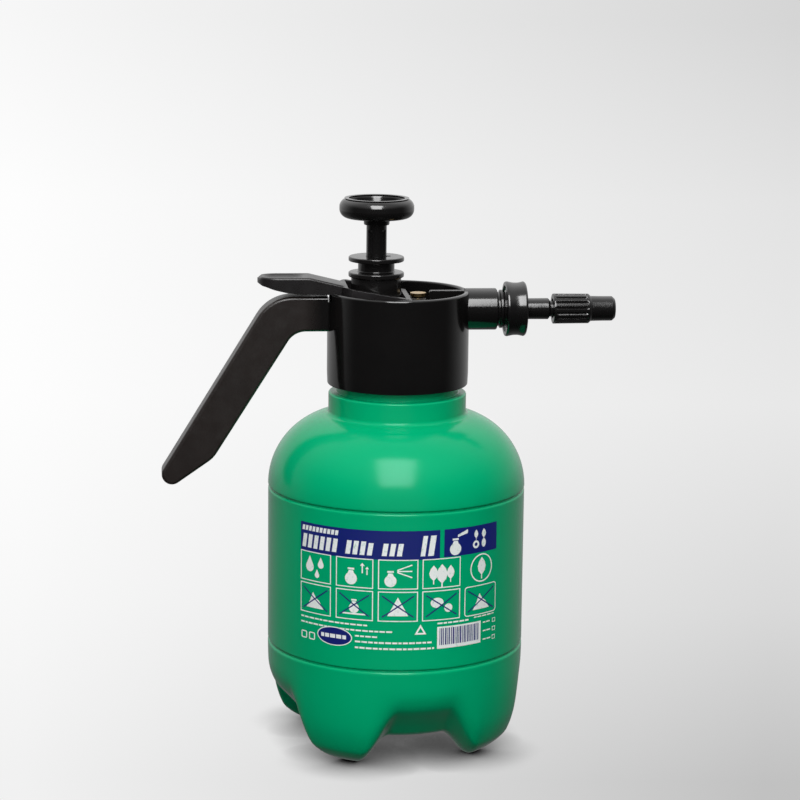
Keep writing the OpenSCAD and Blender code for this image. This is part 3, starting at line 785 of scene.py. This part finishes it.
def make_head():
    socket = [(SOCKET_R, DECK_LOW, 0.4)]
    for k in reversed(range(THREAD_RINGS)):
        socket += reversed(thread_ring(SOCKET_R, -THREAD_RISE, SOCKET_THREAD_Z + THREAD_PITCH * k))
    outline = [(COLLAR_R - 0.25, COLLAR_LOW, 0.7), (COLLAR_R, COLLAR_LOW + 6), (COLLAR_R, RIM, 1.1),
               (CUP_R, RIM, 1.0),
               (CUP_R, DECK_TOP, 2.0), (0, DECK_TOP), (0, DECK_LOW)] + socket + [(SOCKET_R, COLLAR_LOW, 0.4)]
    head = turned("head_moulding", outline, on_z(), 192)
    handle = plate("handle_solid", [(-33.2, HANDLE_TOP), (-62.3, HANDLE_TOP, 20), (-126.2, 117.4, 5),
                                    (-89.4, 143.1, 14), (-50.5, 204.9, 10), (-33.2, 204.9)], HANDLE_HALF,
                   1.5, 5)
    core = plate("core", [(-36, 219.2), (-61, 219.2, 17), (-116.6, 128.4, 3), (-89.4, 124), (-46, 195),
                          (-36, 203)],
                 HANDLE_HALF - 2.4)
    for k in range(5):
        rib = slab("rib", (-30, -7, -0.9), (30, 7, 0.9))
        rib.matrix_world = (Matrix.Translation(Vector((-52 - 12 * k, 0, 207 - 16.5 * k)) * MM)
                            @ Matrix.Rotation(math.radians(32), 4, "Y"))
        bpy.context.view_layer.update()
        combine(core, [rib], "DIFFERENCE")
    combine(handle, [core], "DIFFERENCE")
    spout_rings = [(8.3, 49, 0.3), (9.3, 49.3, 0.3), (9.3, 50.5, 0.3), (8.3, 51, 0.3), (8.3, 52, 0.3),
                   (9.3, 52.4, 0.3), (9.3, 53.6, 0.3), (8.3, 54, 0.3), (8.3, 55, 0.3), (9.3, 55.3, 0.3),
                   (9.3, 56.3, 0.3)]
    spout = turned("spout", [(0, 32.2), (SPOUT_R, 32.2), (SPOUT_R, SPOUT_END, 0.7), (8.3, SPOUT_END, 0.3)]
                   + spout_rings + [(8.6, SPIGOT_END, 0.3), (0, SPIGOT_END)], on_x(SPRAY_Z), 96)
    boss = turned("boss", [(0, DECK_LOW + 0.5), (5.6, DECK_LOW + 0.5), (5.6, 216, 0.5), (0, 216)],
                  on_z(VALVE_X), 64)
    stem_socket = turned("tube_socket", [(0, 181), (5.2, 181, 0.6), (5.2, DECK_LOW + 0.7),
                                         (0, DECK_LOW + 0.7)],
                         on_z(VALVE_X), 64)
    duct = slab("duct", (VALVE_X, -4, DECK_LOW + 0.4), (CUP_R + 1, 4, 212.6), 0.6)
    web = plate("web", [(14.8, DECK_LOW + 0.6), (CUP_R + 1.2, DECK_LOW + 0.6), (CUP_R + 1.2, RIM - 0.1),
                        (14.8, RIM - 0.1, 1.2)],
                1.25, 0.4, 3)
    lugs = []
    for side in (-1, 1):
        outline = [(PIVOT.x - 3.5, DECK_LOW + 0.6), (PIVOT.x + 3.5, DECK_LOW + 0.6),
                   (PIVOT.x + 3.5, PIVOT.z + 3.5, 3.49),
                   (PIVOT.x - 3.5, PIVOT.z + 3.5, 3.49)]
        lugs.append(plate("lug", outline, 1.5, 0.35, 2, at=side * 21.2))
    combine(head, [handle, spout, boss, stem_socket, duct, web] + lugs, "UNION")
    cuts = [
        turned("barrel_hole", [(0, DECK_LOW - 9), (10.45, DECK_LOW - 9), (10.45, DECK_TOP + 3),
                               (0, DECK_TOP + 3)], on_z(PUMP_X), 96),
        turned("chamber", [(0, 170), (3.05, 170), (3.05, 192), (2, 192), (2, 197), (3.6, 197), (3.6, 240),
                           (0, 240)],
               on_z(VALVE_X), 48),
        turned("duct_bore", [(0, VALVE_X), (1.8, VALVE_X), (1.8, VALVE_X + 28), (0, VALVE_X + 28)],
               on_x(209.6), 32),
        turned("spout_bore", [(0, 36), (6.6, 36), (6.6, 80), (0, 80)], on_x(SPRAY_Z), 64),
        slab("notch", (-COLLAR_R - 0.1, -10, 219.4), (-COLLAR_R + 14, 10, RIM + 3)),
    ]
    for cut in cuts:
        combine(head, [cut], "DIFFERENCE")
    hinge_hole = turned("hinge_hole", [(0, -25), (2.05, -25), (2.05, 25), (0, 25)],
                        lambda r, h, a: (PIVOT.x + r * math.cos(a), h, PIVOT.z + r * math.sin(a)), 32)
    combine(head, [hinge_hole], "DIFFERENCE")
    return head


piece(make_head(), "head", head_black, ["head_housing"], angle=30)

# ---------------------------------------------------------------- pump

KNOB_R = box_mm("pump_knob")[1].x - PUMP_X
KNOB_LOW, KNOB_TOP = 258.9, box_mm("pump_knob")[1].z
DISH_DEPTH = 5
ROD_R, ROD_LOW, ROD_TOP = 4.9, 122.3, 262.0
FLUTE_R, FLUTE_LOW, FLUTE_TOP = 1.1, 134.0, 253.9


def fluted(radius, height, angle):
    """The rod's radius with four grooves along it, each run out at both ends."""
    if radius < ROD_R - 0.01 or not FLUTE_LOW < height < FLUTE_TOP:
        return radius
    off = abs(angle % (math.pi / 2) - math.pi / 4)
    across = ROD_R * math.sin(off)
    if across >= FLUTE_R:
        return radius
    depth = ROD_R - (ROD_R * math.cos(off) - math.sqrt(FLUTE_R**2 - across**2))
    ends = min(1, (height - FLUTE_LOW) / 2, (FLUTE_TOP - height) / 2)
    return radius - depth * max(0, ends)


knob = turned("knob_moulding", [
    (0, 256.2), (ROD_R + 1.2, 255.9, 0.4), (ROD_R + 1.5, KNOB_LOW, 1.2), (KNOB_R - 0.3, KNOB_LOW + 0.4, 4.3),
    (KNOB_R, (KNOB_LOW + KNOB_TOP) / 2 + 0.4, 12), (KNOB_R - 0.6, KNOB_TOP, 4.4),
                                (13.9, KNOB_TOP - 0.1, 2.2),
    (12.7, KNOB_TOP - DISH_DEPTH, 2.2), (0, KNOB_TOP - DISH_DEPTH)], on_z(PUMP_X), 128)
bore_r = ROD_R + 0.02
knob_bore = turned("knob_bore", [(0, 250), (bore_r, 250), (bore_r, ROD_TOP + 0.1), (0, ROD_TOP + 0.1)],
                   on_z(PUMP_X), 96)
combine(knob, [knob_bore], "DIFFERENCE")
piece(knob, "plunger", black, ["pump_knob"])

rod_rows = [(ROD_R, FLUTE_LOW), (ROD_R, FLUTE_LOW + 0.7), (ROD_R, FLUTE_LOW + 2)] + [
    (ROD_R, z) for z in np.linspace(FLUTE_LOW + 10, FLUTE_TOP - 10, 10)] + [
    (ROD_R, FLUTE_TOP - 2), (ROD_R, FLUTE_TOP - 0.7), (ROD_R, FLUTE_TOP)]
rod = turned("rod_moulding", [(3.0, ROD_LOW), (ROD_R, ROD_LOW, 0.4)] + rod_rows
             + [(ROD_R, ROD_TOP, 0.4), (0, ROD_TOP), (0, 137),
                              (3.0, 137, 0.5)], on_z(PUMP_X), 144, fluted)
piece(rod, "plunger", black, ["piston_rod"], angle=40)

NUT_LOW, NUT_FLANGE_R = 210.4, 13.4
LOWER_FLANGE, UPPER_FLANGE, FLANGE_THICK = 230.9, 238.4, 2.2
NUT_BORE = ROD_R + 0.05
nut = turned("pump_nut_moulding", [
    (12.1, NUT_LOW, 0.3), (12.1, 226.5), (12.1, LOWER_FLANGE - 0.3, 0.4), (NUT_FLANGE_R, LOWER_FLANGE, 0.5),
    (NUT_FLANGE_R, LOWER_FLANGE + FLANGE_THICK, 0.6), (8.8, LOWER_FLANGE + FLANGE_THICK + 0.1, 0.9),
    (8.8, UPPER_FLANGE - 0.1, 0.9), (NUT_FLANGE_R, UPPER_FLANGE, 0.5),
                                   (NUT_FLANGE_R, UPPER_FLANGE + FLANGE_THICK, 0.65),
    (ROD_R + 0.1, UPPER_FLANGE + FLANGE_THICK, 0.4), (NUT_BORE, UPPER_FLANGE), (NUT_BORE, 226.2),
                                   (10.95, 226.2, 0.4),
    (10.95, NUT_LOW, 0.3)], on_z(PUMP_X), 128)
notch = plate("nut_notch", [(PUMP_X + ROD_R - 1.5, 241.5), (PUMP_X + ROD_R + 2.6, 241.5),
                            (PUMP_X + ROD_R, 237.6)], 1.5)
combine(nut, [notch], "DIFFERENCE")
piece(nut, "pump_nut", black, ["pump_nut"])

# ---------------------------------------------------------------- lever

LEVER_HALF, LEVER_TOP, LEVER_ROOT = 8.9, 231.3, -26.0
PADDLE_TIP, PADDLE_END = -68.0, -43.2
PADDLE_UNDERSIDE = ((-68, 228.5), (-66, 227.4), (-60, 225.4), (-54, 224.0), (-48, 223.3), (-42, 223.15),
                    (-28, 223.1), (-26, 223.1))


def smooth_step(value, low, high):
    t = min(1, max(0, (value - low) / (high - low)))
    return t * t * (3 - 2 * t)


def paddle_section(x):
    """One cross-section of the paddle: an upturned channel with a dished roof."""
    tip = max(0.0, (-57.5 - x) / (-57.5 - PADDLE_TIP))
    half = LEVER_HALF * math.sqrt(max(0.02, 1 - min(1, tip) ** 2.4))
    slope = max(0, x - PADDLE_END) / (LEVER_ROOT - PADDLE_END)
    top = LEVER_TOP - 4.1 * slope - 0.9 * smooth_step(-x, 65.5, 68)
    low = float(np.interp(x, *zip(*PADDLE_UNDERSIDE)))
    dish = 1.5 * smooth_step(-x, 44.5, 50) * (1 - smooth_step(-x, 60.5, 66.2))
    roof = top - 2.9
    hollow = smooth_step(-x, 29.6, 31.5) * (1 - smooth_step(-x, 60, 65.5))
    roof = low + 0.02 + (roof - low) * hollow
    edge = min(1.1, half * 0.45)
    points = [(-half, low)] + [(-half + edge - edge * math.cos(t), top - edge + edge * math.sin(t))
                               for t in np.linspace(0, math.pi / 2, 5)]
    rim = max(0.05, half - edge - 1.3)
    for s in np.linspace(-1, 1, 15):
        points.append((rim * s, top - dish * (1 - s * s) ** 0.7))
    points += [(half - edge + edge * math.sin(t), top - edge + edge * math.cos(t))
               for t in np.linspace(0, math.pi / 2, 5)]
    inner = max(0.3 * half, half - 1.5)
    points += [(half, low), (inner, low), (inner, roof - 0.4), (inner - 0.4, roof), (-inner + 0.4, roof),
               (-inner, roof - 0.4), (-inner, low)]
    return points


def make_lever():
    runs = ((-68, -64, 9), (-63, -44.6, 22), (-43.9, -26.2, 20))
    stations = [x for first, last, count in runs for x in np.linspace(first, last, count)]
    vertices, faces = [], []
    for x in stations:
        vertices += [(x, y, z) for y, z in paddle_section(x)]
    count = len(paddle_section(-50))
    for i in range(len(stations) - 1):
        for k in range(count):
            n = (k + 1) % count
            faces.append([i * count + k, i * count + n, (i + 1) * count + n, (i + 1) * count + k])
    faces += [list(range(count)), list(range((len(stations) - 1) * count, len(stations) * count))]
    paddle = new_object("lever_moulding", vertices, faces)

    side = [(-28.2, 227.6), (-26, 227.2), (5.2, 221.8, 0.6), (5.2, 218.9, 0.6), (-6, 211.5, 6),
            (-22, 211.5, 4), (-28.2, 219.4)]
    arms = [plate("arm", side, 1.6, 0.35, 2, at=s * 15.9) for s in (-1, 1)]
    arms.append(slab("yoke", (-28, -17.4, 219.6), (-25, 17.4, 227.2), 0.5))
    arms.append(slab("cross_bar", (2.6, -17.4, 218.95), (5.2, 17.4, 221.9), 0.4))
    fork = combine(arms[0], arms[1:], "UNION")
    combine(fork, [turned("fork_limit", [(0, 205), (29.6, 205), (29.6, 235), (0, 235)], on_z(), 128)],
            "INTERSECT")
    parts = []
    for s in (-1, 1):
        parts.append(slab("prong", (4.6, s * 3.9 - 1.7, 218.92), (13, s * 3.9 + 1.7, 220.6), 0.35))
        parts.append(turned("trunnion", [(0, 0), (2, 0), (2, 6.8, 0.3), (0, 6.8)],
                            lambda r, h, a, s=s: (PIVOT.x + r * math.cos(a), s * (15.9 + h),
                                                  PIVOT.z + r * math.sin(a)), 40))
    combine(fork, parts, "UNION")
    combine(fork, [turned("pump_room", [(0, 200), (13.2, 200), (13.2, 240), (0, 240)], on_z(PUMP_X), 128)],
            "DIFFERENCE")
    return combine(paddle, [fork], "UNION")


piece(make_lever(), "trigger", grey_black, ["trigger_lever"], angle=32)

# ---------------------------------------------------------------- nozzle

LANCE_R, THIN_X, THIN_R = 5.1, 73.6, 3.9
UNION_LOW, UNION_HIGH = 51.9, 61.9
UNION_R = 13.35

cap_thread = []
for k in range(4):
    x = 82 + 2.4 * k
    cap_thread += [(THIN_R, x), (4.6, x + 0.2, 0.2), (4.6, x + 1, 0.2), (THIN_R, x + 1.3)]

stub = turned("lance_moulding", [
    (2, 42), (6.5, 42, 0.5), (6.5, 46, 0.2), (5.2, 46, 0.2), (5.2, 48.6, 0.2), (6.5, 48.6, 0.2),
                                 (6.5, 58.05), (8.8, 58.05, 0.2), (8.8, 59.85, 0.3),
    (LANCE_R, 59.85, 0.3), (LANCE_R, 66), (LANCE_R + 0.05, THIN_X - 0.6, 0.4), (4.5, THIN_X, 0.3),
                                 (THIN_R, THIN_X + 0.3, 0.2),
    (THIN_R, 78, 0.1), (3.2, 78, 0.1), (3.2, 80, 0.1), (THIN_R, 80, 0.1)] + cap_thread + [
    (THIN_R, 96, 0.3), (2, 96, 0.2)], on_x(SPRAY_Z), 96)
piece(stub, "head", black, ["lance_stub"])

union = turned("union_nut_moulding", [
    (11.2, UNION_LOW, 0.3), (UNION_R - 0.2, UNION_LOW, 0.5), (UNION_R, UNION_LOW + 1.0, 0.8),
    (12.75, UNION_LOW + 4, 6), (12.7, UNION_LOW + 6.4, 6), (UNION_R, UNION_HIGH - 0.9, 0.8),
    (UNION_R - 0.8, UNION_HIGH, 0.7), (6.1, UNION_HIGH - 0.1, 0.2), (5.15, UNION_HIGH - 0.3, 0.2),
                                      (5.15, 60),
    (9.7, 60), (9.7, 57.2), (8.75, 56.9, 0.1), (8.75, 55.9, 0.1), (9.7, 55.6), (9.7, 54.2),
                                      (8.75, 53.9, 0.1),
    (8.75, 52.9, 0.1), (9.7, 52.7), (11.2, 52.7, 0.2)], on_x(SPRAY_Z), 128)
piece(union, "union", black, ["union_nut"])

CAP_X = (75.4, 92.8, 94.0, 104.4, 105.8)
CAP_RIBS = 16
CAP_R, NOSE_R = 7.35, 6.0


def gripped(radius, height, angle):
    """The cap's radius with a groove between each pair of grip ribs, its ends rounded off."""
    if radius < 6.9 or not CAP_X[0] < height < CAP_X[1] + 0.4:
        return radius
    off = abs((angle * CAP_RIBS / (2 * math.pi)) % 1 - 0.5) * 2
    across = 1 - smooth_step(off, 0.0, 0.55)
    begins = smooth_step(height, CAP_X[0] + 0.7, CAP_X[0] + 1.8)
    ends = smooth_step(height, CAP_X[1] - 1.6, CAP_X[1] - 0.1)
    return radius - 0.75 * across * begins * (1 - ends)


cap_rows = [(CAP_R - 0.12 * (x - CAP_X[0]) / 17, x) for x in
            [76.0, 76.3, 76.6, 76.9, 77.2, 77.6, 80, 83, 86, 89, 91, 91.3, 91.6, 91.9, 92.2, 92.5]]
cap_rim = [(4.85, CAP_X[0], 0.2), (CAP_R - 0.1, CAP_X[0], 0.35)]
cap_nose = [(CAP_R - 0.2, CAP_X[1] + 0.1, 0.4), (NOSE_R + 0.1, CAP_X[2], 0.5), (NOSE_R, 99),
            (NOSE_R - 0.02, CAP_X[3], 0.7), (NOSE_R - 1.2, CAP_X[4], 0.35)]
cap_inside = [(3.22, CAP_X[4], 0.15), (3.2, 103.4), (2.2, 103.4), (2.2, 102), (4.85, 102)]
cap = turned("nozzle_cap_moulding", cap_rim + cap_rows + cap_nose + cap_inside, on_x(SPRAY_Z), 192, gripped)
piece(cap, "nozzle", black, ["nozzle_cap"], angle=35)

insert = turned("nozzle_insert_metal", [(0.5, 103.45), (3.18, 103.45), (3.18, 106.05, 0.35),
                                        (2.1, 106.05, 0.15), (0.5, 105.1)],
                on_x(SPRAY_Z), 64)
piece(insert, "nozzle", dull_brass, ["nozzle_insert"])

# ---------------------------------------------------------------- inner pieces keep their CAD shape

INNER = {
    rubber: ("neck_gasket", "barrel_seal", "piston_seal", "foot_valve", "valve_seal", "stem_seal",
             "lance_seal", "nozzle_seal"),
    natural: ("pump_barrel", "piston", "intake_filter", "swirl_core"),
    tube_look: ("dip_tube",),
    brass: ("valve_stem",),
    steel: ("valve_spring",),
    black: ("valve_cap",),
}
for material, names in INNER.items():
    for name in names:
        for place in frame["nodes"][name].material_slots:
            place.material = material


def compress_spring():
    """Gives the valve spring a mesh of its own."""
    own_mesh(frame["nodes"]["valve_spring"])


compress_spring()

# ---------------------------------------------------------------- floor and light

FLOOR_HALF = 24000
TONE_STOPS = (0.03, 0.23, 0.46, 0.7, 0.91)  # from the paper's far side to its near side
# painted light: the paper's glow at those stops, on its left side and its right side
LEFT_PAINTED_LIGHT = (0.93, 0.985, 0.985, 0.94, 0.88)
RIGHT_PAINTED_LIGHT = (0.665, 0.768, 0.807, 0.694, 0.533)
OUTER_TONE = 0.86  # the paper behind the camera
PAINTED_SHADOW_REACH = 0.024  # how far from the feet the painted shadow on the paper reaches
LAMP_TARGET = Vector((0, 0, 0.15))


def make_floor():
    """A pale paper sheet that glows with painted light, brighter on the left than the right and changing
    with distance, and with a painted soft shadow where the feet stand.

    Its own axes start below the camera: y runs away from it and x to the right.
    """
    corners = [(-FLOOR_HALF, -FLOOR_HALF), (FLOOR_HALF, -FLOOR_HALF), (FLOOR_HALF, FLOOR_HALF),
               (-FLOOR_HALF, FLOOR_HALF)]
    obj = plate("floor", corners, 0.5, axis="z", at=-0.52)
    obj.matrix_world = Matrix.Translation(away) @ Matrix.Rotation(az, 4, "Z")
    look = Look("pale_paper_painted_light")
    part = look.node("ShaderNodeSeparateXYZ", {"Vector": look.place})
    depth = look.node("ShaderNodeMath", {0: part.outputs["Y"], 1: 0.9}, operation="MAXIMUM").outputs[0]
    near = look.node("ShaderNodeMath", {0: 1.0, 1: depth}, operation="DIVIDE").outputs[0]
    slant = look.node("ShaderNodeMath", {0: part.outputs["X"], 1: depth}, operation="DIVIDE").outputs[0]
    rise = look.ramp(near, 0, 1, 0.1, 0.9)
    # painted light: the glow fades from left to right and changes with distance
    left, right_side = [look.colours(rise, [(stop, (tone,) * 3) for stop, tone in zip(TONE_STOPS, tones)])
                        for tones in (LEFT_PAINTED_LIGHT, RIGHT_PAINTED_LIGHT)]
    paper = look.mixed(look.ramp(slant, 0, 1, -0.146, 0.146), left, right_side)
    paper = look.mixed(look.ramp(part.outputs["Y"], 0, 1, 0.4, 1.1),
                       (OUTER_TONE, OUTER_TONE, OUTER_TONE, 1), paper)
    # painted shadow: ambient occlusion darkens the paper's glow where the feet stand
    painted_shadow_ao = look.node("ShaderNodeAmbientOcclusion", {"Distance": PAINTED_SHADOW_REACH}, samples=16).outputs["AO"]
    painted_shade = look.ramp(painted_shadow_ao, 0.0, 1.0, 0.12, 0.92)
    lit = look.node("ShaderNodeVectorMath", {0: paper, 1: painted_shade}, operation="MULTIPLY").outputs[0]
    look.link("Emission Color", lit)
    look.shader.inputs["Emission Strength"].default_value = 1.0
    look.shader.inputs["Base Color"].default_value = (0, 0, 0, 1)
    look.shader.inputs["Specular IOR Level"].default_value = 0.0
    obj.data.materials.append(look.material)
    obj.visible_glossy = obj.visible_diffuse = False


def make_world():
    """A light tent: bright behind and above, dark where the camera stands."""
    world = bpy.data.worlds.new("studio")
    world.use_nodes = True
    tree = world.node_tree
    tree.nodes.clear()

    def node(kind, inputs=None, **settings):
        return add_node(tree, kind, inputs, **settings)

    def fade(value, start, end, low, high, **settings):
        inputs = {"Value": value, "From Min": start, "From Max": end, "To Min": low, "To Max": high}
        return node("ShaderNodeMapRange", inputs, **settings).outputs[0]

    way = node("ShaderNodeSeparateXYZ", {"Vector": node("ShaderNodeTexCoord").outputs["Generated"]})
    behind = fade(way.outputs["Y"], -0.25, 0.85, 0.04, 0.8, interpolation_type="SMOOTHSTEP")
    above = fade(way.outputs["Z"], 0.25, 0.9, 0.0, 0.55, interpolation_type="SMOOTHSTEP")
    lit = node("ShaderNodeMath", {0: behind, 1: above}, operation="ADD").outputs[0]
    low = fade(way.outputs["Z"], -0.35, 0.05, 0.25, 1.0)
    total = node("ShaderNodeMath", {0: lit, 1: low}, operation="MULTIPLY").outputs[0]
    tent = node("ShaderNodeBackground", {"Color": (1, 1, 1, 1), "Strength": total}).outputs[0]
    plain = node("ShaderNodeBackground", {"Color": (0.8, 0.8, 0.8, 1), "Strength": 1.0}).outputs[0]
    seen = node("ShaderNodeLightPath").outputs["Is Camera Ray"]
    mixed = node("ShaderNodeMixShader", {0: seen, 1: tent, 2: plain}).outputs[0]
    node("ShaderNodeOutputWorld", {"Surface": mixed})
    bpy.context.scene.world = world


def soft_box(name, elevation, distance, size, watts, mirrored=True):
    """A lit rectangle on the camera's side, facing the middle of the bottle."""
    data = bpy.data.lights.new(name, "AREA")
    data.shape = "RECTANGLE"
    data.size, data.size_y = size
    data.energy = watts
    obj = bpy.data.objects.new(name, data)
    rise = math.radians(elevation)
    way = Vector((math.sin(az) * math.cos(rise), -math.cos(az) * math.cos(rise), math.sin(rise)))
    place = LAMP_TARGET + distance * way
    obj.matrix_world = Matrix.Translation(place) @ (LAMP_TARGET
                                                    - place).to_track_quat("-Z", "Y").to_matrix().to_4x4()
    obj.visible_glossy = mirrored
    bpy.context.scene.collection.objects.link(obj)


make_floor()
make_world()
soft_box("key", 46, 1.4, (0.7, 1.1), 18)
soft_box("fill", 4, 1.6, (1.6, 1.2), 8, mirrored=False)
bpy.context.scene.view_settings.view_transform = "Standard"
